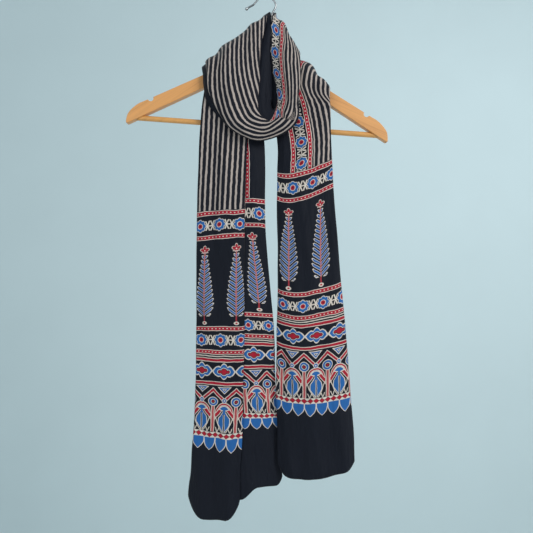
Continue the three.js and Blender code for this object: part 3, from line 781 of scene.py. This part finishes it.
treeSpec = {
    "pitch": 56,
    "foot": 333,
    "top": 447,
    "height": 112,
    "half": 17,
    "widestAt": 0.24,
    "leafPitch": 8.4,
    "leafSlope": 0.78,
    "rootAt": 321,
    "crownAt": 449,
}


def treeCloth():  # slender trees: leaves on a spine, a root knob and a small crown
    c, s = Cloth("clothTrees"), treeSpec
    x, a = c.shifted("treeShift").beside(s["pitch"]), c.a
    up = (a - s["foot"]) / s["height"]
    above, below = (up - s["widestAt"]).most(0), (s["widestAt"] - up).most(0)
    edge = s["half"] - above ** 1.3 * 17.5 - below ** 2 * 110
    leaf = abs((a - x * s["leafSlope"]).around(s["leafPitch"]))
    inEnvelope = (x - edge + leaf * 0.9).most(s["foot"] - a).most(a - s["top"])
    c.stamp((leaf - 2.6).most(inEnvelope), "cream", 0.35)
    c.stamp((leaf - 1.9).most(inEnvelope + 1.5), "blue", 0.35)
    spine = (x - 1.1).most(a - s["top"] + 1).most(s["rootAt"] + 1 - a)
    c.stamp(spine, "faded")
    c.stamp((spine + 0.2).most(a - s["foot"]), "red")
    root = ((x / 4.6).reach((a - s["rootAt"]) / 3) - 1) * 3
    c.nest(root, (0, "cream"), (-1.6, "red"))
    y = a - s["crownAt"]
    r = x.reach(y)
    petals = abs((x.turn(y) * 2.5).cosine())
    c.nest((r - 4.2 - petals * 4.4).most(-4 - y), (0, "cream"), (-1.1, "red"))
    c.nest(r, (1.2, "cream"))
    return c.finishCloth()


sideBorderSpec = {"inner": 31, "middle": 46, "outer": 61, "stripesFrom": 67.5}


def fieldCloth():  # stripes between the two side borders
    c, s = Cloth("clothField"), sideBorderSpec
    fromEdge = c.v.least(clothSpec["width"] - c.v)
    pitch = printSpec["borderPitch"]
    c.flowerBand(fromEdge, c.x - printSpec["borderShift"], s["middle"], pitch)
    c.dottedLine(fromEdge, c.x, s["inner"])
    c.dottedLine(fromEdge, c.x, s["outer"])
    lanes = c.scaled(c.place, 0.004, 0.09, 1)
    ink = printSpec["stripeInk"] * (0.72 + c.noise(lanes, 1.0, 1) * 0.56)
    stripe = abs((c.v - printSpec["stripeStart"]).around(printSpec["stripePitch"])) - ink / 2
    c.stamp(stripe.most(s["stripesFrom"] - fromEdge), "stripe", 0.9)
    return c.finishCloth()


zones = [  # each paint, from this distance from the nearer hem on
    (0, scallopCloth()),
    (135.2, archCloth()),
    (223, medallionCloth()),
    (267, endBorderCloth("clothNearBorder", "nearShift", 272, 292, 311.5)),
    (317, treeCloth()),
    (465, endBorderCloth("clothFarBorder", "farShift", 471, 491, 511)),
    (516, fieldCloth()),
]
print("cloth paints made:", len(zones))


def zoneOf(distance):
    return max(i for i, (low, _) in enumerate(zones) if distance >= low)


def makeStole():
    length = clothSpec["length"]
    ends = [low for low, _ in zones[1:]]
    u = strandStations([*ends, *[length - low for low in ends]])
    across, depth, lift, printed = foldNodes(u)
    across, depth = softened(across), softened(depth)
    rows, wide = across.shape
    rise = lift + hemRise(np.repeat(u, wide), across.ravel()).reshape(rows, wide)
    base = u[:, None] - rise * np.where(u > length / 2, 1, -1)[:, None]
    points = place(base.ravel(), across.ravel(), depth.ravel())
    faces, places = [], []
    for r in range(rows - 1):
        middle = (u[r] + u[r + 1]) / 2
        zone = zoneOf(min(middle, length - middle))
        for i in range(wide - 1):
            k = r * wide + i
            faces.append((k, k + 1, k + wide + 1, k + wide))
            places.append(zone)
    stole = meshPiece("stoleCloth", points * mm, faces)
    for _, paint in zones:
        stole.data.materials.append(paint)
    stole.data.polygons.foreach_set("material_index", places)
    layer = stole.data.uv_layers.new(name="print")
    spots = np.zeros(len(stole.data.loops), int)
    stole.data.loops.foreach_get("vertex_index", spots)
    printedAt = np.stack([np.repeat(u, wide), printed.ravel()], axis=1)
    layer.data.foreach_set("uv", printedAt[spots].astype(np.float32).ravel())
    body = stole.modifiers.new("body", "SOLIDIFY")
    body.thickness = clothSpec["thickness"] * mm
    body.offset = 0
    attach(stole, "root")
    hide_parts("stole")
    print("stole made:", rows, "rows of", wide)


makeStole()


# the wooden hanger, in its own upright frame, turned at the neck
hangerSpec = {
    "tilt": 4.2,
    "neck": (-4.8, 0, -99),
    "neckHalf": 4,
    "reach": 223,
    "top": 9,
    "topSlope": 28,
    "foot": -11.6,
    "footSlope": 29,
    "thickness": 14.6,
    "rounding": 2.4,
    "notchAt": 184,
    "notchRadius": 4.8,
    "notchRise": -0.5,
    "notchFrom": 174.5,
    "notchSweep": 191,
    "tipSteps": 4,
    "wood": (fromScreen(214, 152, 88), fromScreen(178, 112, 58)),
}

barSpec = {
    "radius": 4.46,
    "drop": -122.5,
    "reach": 206,
    "steps": 80,
    "sides": 28,
    "wood": (fromScreen(210, 152, 84), fromScreen(174, 118, 60)),
}

hookSpec = {
    "wire": 3.2,
    "radius": 18,
    "ball": 2.7,
    "ballRings": 9,
    "steps": 9,
    "sides": 22,
    "flare": [(-32, -20), (-26, -16), (-20.5, -13)],
    "turns": (150, 120, 90, 60, 30, 5),
    "bend": [(14.5, -23), (10.6, -30), (4, -46), (-2.2, -65), (-4.4, -80)],
    "stem": (14, 4, -5),
    "steel": (fromScreen(128, 132, 136), fromScreen(196, 200, 203)),
}


def tangent(degrees):
    return math.tan(math.radians(degrees))


def fromHanger(x, y, z):  # hanger frame to the room, millimetres
    tilt = math.radians(hangerSpec["tilt"])
    cosine, sine = math.cos(tilt), math.sin(tilt)
    nx, ny, nz = hangerSpec["neck"]
    return Vector((nx + x * cosine + z * sine, ny + y, nz - x * sine + z * cosine))


def curveThrough(points, steps):  # a soft line through the points
    def between(a, b, c, d, t):
        bent = (2 * a - 5 * b + 4 * c - d) * t**2 + (3 * b - a - 3 * c + d) * t**3
        return 0.5 * (2 * b + (c - a) * t + bent)

    made = []
    last = len(points) - 1
    for i in range(last):
        near = [points[max(0, i - 1)], points[i], points[i + 1], points[min(last, i + 2)]]
        for k in range(steps):
            made.append(tuple(between(*spots, k / steps) for spots in zip(*near)))
    return [*made, points[-1]]


def armTop(x):
    return hangerSpec["top"] - x * tangent(hangerSpec["topSlope"])


def armFoot(x):
    return hangerSpec["foot"] - x * tangent(hangerSpec["footSlope"])


def armOutline():
    s = hangerSpec
    reach, neck, notchAt = s["reach"], s["neckHalf"], s["notchAt"]
    slope = math.radians(s["topSlope"])
    notch = []
    for k in range(11):
        turn = math.radians(s["notchFrom"] + s["notchSweep"] * k / 10)
        out, rise = s["notchRadius"] * math.cos(turn), s["notchRadius"] * math.sin(turn)
        notch.append((
            notchAt + out * math.cos(slope) + rise * math.sin(slope),
            armTop(notchAt) + s["notchRise"] - out * math.sin(slope) + rise * math.cos(slope),
        ))
    corners = [
        (reach - 28, armTop(reach - 28)),
        (reach - 19, armTop(reach - 19)),
        (reach - 8.5, armTop(reach - 8.5) - 3.8),
        (reach - 1.7, armTop(reach) - 9.6),
        (reach, armFoot(reach) + 2.5),
        (reach - 4, armFoot(reach - 4)),
    ]
    tip = curveThrough(corners, s["tipSteps"])
    right = [(neck, armTop(neck)), *notch, *tip, (neck, armFoot(neck))]
    return [*right, *[(-x, z) for x, z in reversed(right)]]


def woodPaint(name, tone, deep):
    p = Paint(name)
    place = p.node("ShaderNodeTexCoord", out=3)
    tilt = math.radians(hangerSpec["tilt"])
    upright = p.node("ShaderNodeMapping", {"vector_type": "POINT"}, place, None, (0, tilt, 0))
    x, y, z = p.axes(upright)
    level = z + abs(x) * tangent(28.5)  # grain runs down each arm
    fineGrain = p.node("ShaderNodeCombineXYZ", None, x * 14, y * 420, level * 420)
    rings = p.node("ShaderNodeCombineXYZ", None, x * 5, y * 60, level * 95)
    fine, broad = p.noise(fineGrain, 1.0, 4, 0.6), p.noise(rings, 1.0, 2)
    grain = (fine * 0.6 + broad * 0.6).least(1)
    pale = tuple(min(1, c * 1.16) for c in tone)
    stops = [(0.32, deep), (0.55, tone), (0.8, pale)]
    colour = p.node("ShaderNodeValToRGB", {"stops": stops}, grain)
    bump = p.node("ShaderNodeBump", None, 0.25, 0.0004, height=fine)
    shader = p.node("ShaderNodeBsdfPrincipled", None, base_color=colour, normal=bump,
                    roughness=0.36 + fine * 0.2, coat_weight=0.25, coat_roughness=0.25)
    return p.finish(shader)


def makeArms():
    s = hangerSpec
    outline = armOutline()
    half = s["thickness"] / 2
    mesh = bmesh.new()
    front = [mesh.verts.new(fromHanger(x, -half, z) * mm) for x, z in outline]
    back = [mesh.verts.new(fromHanger(x, half, z) * mm) for x, z in outline]
    count = len(outline)
    mesh.faces.new(front)
    mesh.faces.new(back[::-1])
    for i in range(count):
        k = (i + 1) % count
        mesh.faces.new((front[i], back[i], back[k], front[k]))
    bmesh.ops.recalc_face_normals(mesh, faces=mesh.faces)
    data = bpy.data.meshes.new("hangerArms")
    mesh.to_mesh(data)
    arms = bpy.data.objects.new("hangerArms", data)
    bpy.context.scene.collection.objects.link(arms)
    edge = arms.modifiers.new("edges", "BEVEL")
    edge.width = s["rounding"] * mm
    edge.segments = 4
    edge.angle_limit = math.radians(50)
    data.shade_smooth()
    arms.modifiers.new("normals", "WEIGHTED_NORMAL")
    data.materials.append(woodPaint("armWood", *s["wood"]))
    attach(arms, "root")
    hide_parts("hanger_arms")


def sweep(name, line, radii, sides):  # round tube along a line, closed at its ends
    points, faces = [], []
    line = [Vector(p) for p in line]
    across = Vector((0, 1, 0))
    for i, spot in enumerate(line):
        ahead = (line[min(i + 1, len(line) - 1)] - line[max(i - 1, 0)]).normalized()
        side = (across - ahead * across.dot(ahead)).normalized()
        other = ahead.cross(side)
        for k in range(sides):
            turn = 2 * math.pi * k / sides
            points.append(spot + (side * math.cos(turn) + other * math.sin(turn)) * radii[i])
    lastRing = (len(line) - 1) * sides
    for start in range(0, lastRing, sides):
        for k in range(sides):
            a, b = start + k, start + (k + 1) % sides
            faces.append((a, a + sides, b + sides, b))
    faces.append(tuple(range(sides)))
    faces.append(tuple(range(lastRing + sides - 1, lastRing - 1, -1)))
    return meshPiece(name, [p * mm for p in points], faces)


def makeBar():
    s = barSpec
    count = s["steps"] + 1
    stops = [s["reach"] * (2 * k / s["steps"] - 1) for k in range(count)]
    line = [fromHanger(x, 0, s["drop"]) for x in stops]
    bar = sweep("trouserRail", line, [s["radius"]] * count, s["sides"])
    bar.data.materials.append(woodPaint("railWood", *s["wood"]))
    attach(bar, "root")
    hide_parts("trouser_bar")


def steelPaint():
    p = Paint("hookSteel")
    place = p.node("ShaderNodeTexCoord", out=3)
    scuffs = p.noise(place, 900, 4, 0.6)
    tarnish = p.noise(place, 60, 3)
    dull, bright = hookSpec["steel"]
    colour = p.node("ShaderNodeValToRGB", {"stops": [(0.35, dull), (0.7, bright)]}, tarnish)
    bump = p.node("ShaderNodeBump", None, 0.12, 0.0002, height=scuffs)
    shader = p.node("ShaderNodeBsdfPrincipled", None, base_color=colour, metallic=1.0,
                    roughness=0.16 + scuffs * 0.2, normal=bump)
    return p.finish(shader)


def hookLine():  # middle of the wire, from its free end into the neck
    s = hookSpec
    centre = -(s["radius"] - s["wire"] / 2)
    ring = []
    for degrees in s["turns"]:
        turn = math.radians(degrees)
        ring.append((s["radius"] * math.cos(turn), centre + s["radius"] * math.sin(turn)))
    bent = [(x, 0, z) for x, z in [*s["flare"], *ring, *s["bend"]]]
    stem = [tuple(fromHanger(0, 0, z)) for z in s["stem"]]
    return curveThrough([*bent, *stem], s["steps"])


def makeHook():
    s = hookSpec
    line = hookLine()
    start = Vector(line[0])
    inward = (Vector(line[1]) - start).normalized()
    knob, knobRadii = [], []
    for k in range(s["ballRings"]):  # the rounded knob on the wire's end
        turn = math.pi * (k + 0.5) / (s["ballRings"] + 2)
        knob.append(tuple(start - inward * (s["ball"] * math.cos(turn))))
        knobRadii.append(max(s["ball"] * math.sin(turn), 0.25))
    ahead = [p for p in line if (Vector(p) - start).dot(inward) > s["ball"] * 0.95]
    radii = [*knobRadii, *[s["wire"] / 2] * len(ahead)]
    hook = sweep("hookWire", [*knob, *ahead], radii, s["sides"])
    hook.data.materials.append(steelPaint())
    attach(hook, "root")
    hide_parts("hanger_hook")


makeArms()
makeBar()
makeHook()
print("hanger made")


# the room
roomSpec = {
    "wallY": 2.3,
    "floorZ": -2.1,
    "wallHalf": 5,
    "wallTop": 3,
    "floorHalf": 6,
    "wall": fromScreen(208, 226, 231),
    "floor": fromScreen(226, 228, 226),
    "sky": fromScreen(214, 226, 230),
    "skyPower": 0.68,
    # name, place, aim, size, power, tone
    "lights": [
        ("key", (1.5, -1.9, 0.7), (0, 0, -0.4), 1.1, 36, (1, 0.985, 0.96)),
        ("fill", (-1.4, -2.0, -0.4), (0, 0, -0.5), 1.6, 9, (0.94, 0.97, 1)),
        ("wallWash", (1.3, 0.6, 0.2), (0.5, 2.3, -0.6), 2.2, 13, (1, 1, 1)),
    ],
}


def plainPaint(name, tone):
    p = Paint(name)
    speckle = p.noise(p.node("ShaderNodeTexCoord", out=3), 3.0, 4)
    colour = p.mix(speckle, tone, tuple(c * 0.94 for c in tone))
    shader = p.node("ShaderNodeBsdfPrincipled", None, base_color=colour, roughness=0.9)
    return p.finish(shader)


def softLight(name, place, aim, size, power, tone):
    lamp = bpy.data.objects.new(name, bpy.data.lights.new(name, "AREA"))
    lamp.location = place
    lamp.rotation_mode = "QUATERNION"
    lamp.rotation_quaternion = (Vector(aim) - Vector(place)).to_track_quat("-Z", "Y")
    lamp.data.size = size
    lamp.data.energy = power
    lamp.data.color = tone
    bpy.context.scene.collection.objects.link(lamp)


def makeRoom():
    s = roomSpec
    floorZ, wallY, far, wide, top = [
        s[key] for key in ("floorZ", "wallY", "floorHalf", "wallHalf", "wallTop")
    ]
    ground = [(x, y, floorZ) for x, y in ((-far, -far), (far, -far), (far, far), (-far, far))]
    floor = meshPiece("floor", ground, [(0, 1, 2, 3)], smooth=False)
    floor.data.materials.append(plainPaint("floorPaint", s["floor"]))
    upright = [(x, wallY, z) for x, z in ((-wide, floorZ), (wide, floorZ), (wide, top), (-wide, top))]
    wall = meshPiece("wall", upright, [(0, 1, 2, 3)], smooth=False)
    wall.data.materials.append(plainPaint("wallPaint", s["wall"]))
    sky = bpy.data.worlds.new("sky")
    sky.use_nodes = True
    background = sky.node_tree.nodes["Background"]
    background.inputs[0].default_value = (*s["sky"], 1)
    background.inputs[1].default_value = s["skyPower"]
    bpy.context.scene.world = sky
    for light in s["lights"]:
        softLight(*light)


makeRoom()
print("room made")
